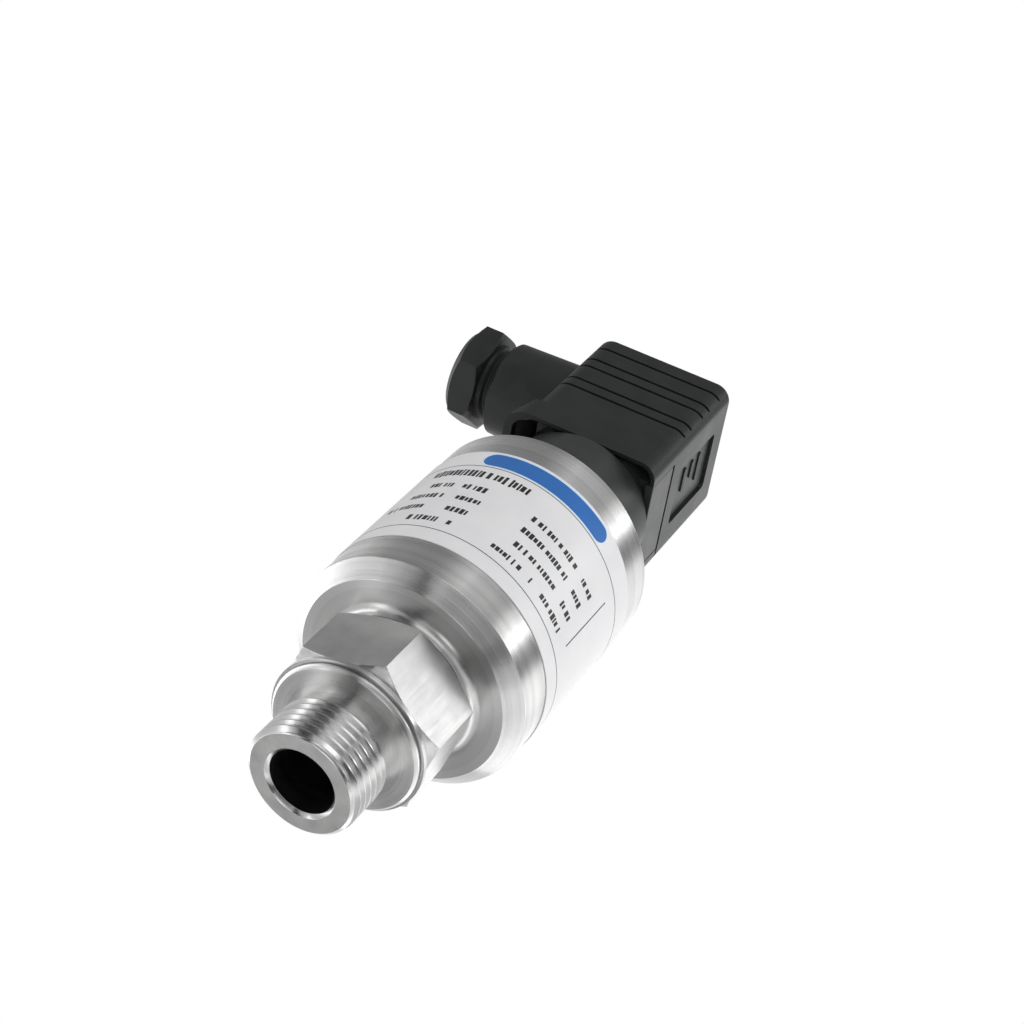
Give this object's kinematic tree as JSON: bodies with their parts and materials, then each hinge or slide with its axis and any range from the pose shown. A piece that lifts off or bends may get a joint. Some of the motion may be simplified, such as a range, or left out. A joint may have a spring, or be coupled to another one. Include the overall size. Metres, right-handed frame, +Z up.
{
  "type": "pressure transmitter",
  "caption": "Stainless pressure transmitter: threaded port with collar and hexagon, round labelled body, black right-angle plug with a cable gland.",
  "frame": {"origin": "centre of the collar's sealing face, on the axis of the process thread", "axes": "+Z up the axis from the threaded port to the plug; the cable gland points along -X; a grooved flank of the plug faces -Y"},
  "size_m": [0.0589, 0.0438, 0.1253],
  "materials": {
    "stainless_steel": "turned and brushed",
    "label_film": "satin printed film, pale grey with a blue band",
    "black_plastic": "glass-filled moulding, lightly textured",
    "seal_rubber": "matte",
    "contact_brass": "bright",
    "zinc_plated_steel": "bright plated",
    "circuit_board": "solder resist",
    "chip_resin": "moulded resin",
    "capacitor_can": "satin",
    "wire_insulation": "smooth"
  },
  "bodies": {
    "transmitter": {"pressure_port": "stainless_steel", "body_tube": "stainless_steel", "body_seal": "seal_rubber", "label_wrap": "label_film", "sensor_cell": "stainless_steel", "sensor_diaphragm": "stainless_steel", "sensor_seal": "seal_rubber", "cell_retainer": "stainless_steel", "sensor_pins": "contact_brass", "board_standoffs": "contact_brass", "board_screws": "zinc_plated_steel", "amplifier_board": "circuit_board", "amplifier_chip": "chip_resin", "board_capacitors": "capacitor_can", "wire_header": "black_plastic", "signal_wires": "wire_insulation", "end_cap": "stainless_steel", "cap_seal": "seal_rubber", "base_nut": "zinc_plated_steel", "base_seal": "seal_rubber", "plug_base": "black_plastic", "contact_pins": "contact_brass", "earth_pin": "contact_brass", "thread_bush": "contact_brass", "flat_gasket": "seal_rubber", "plug_housing": "black_plastic", "terminal_insert": "black_plastic", "socket_contacts": "contact_brass", "terminal_screws": "zinc_plated_steel", "centre_screw": "zinc_plated_steel", "screw_seal": "seal_rubber", "gland_grommet": "seal_rubber"},
    "pressure_washer": {"gland_washer": "zinc_plated_steel"},
    "compression_screw": {"gland_nut": "black_plastic"}
  },
  "joints": [
    {"name": "gland_travel", "type": "slide", "parent": "transmitter", "child": "pressure_washer", "axis": [-1, 0, 0], "range_m": [0, 0.00565]},
    {"name": "gland_turn", "type": "hinge", "parent": "pressure_washer", "child": "compression_screw", "pos_m": [-0.029, 0, 0.1031], "axis": [-1, 0, 0], "range_deg": [0, 1440]}
  ],
  "couplings": [
    {"joint": "gland_travel", "follows": "gland_turn", "m_per_rad": 0.0002244}
  ]
}
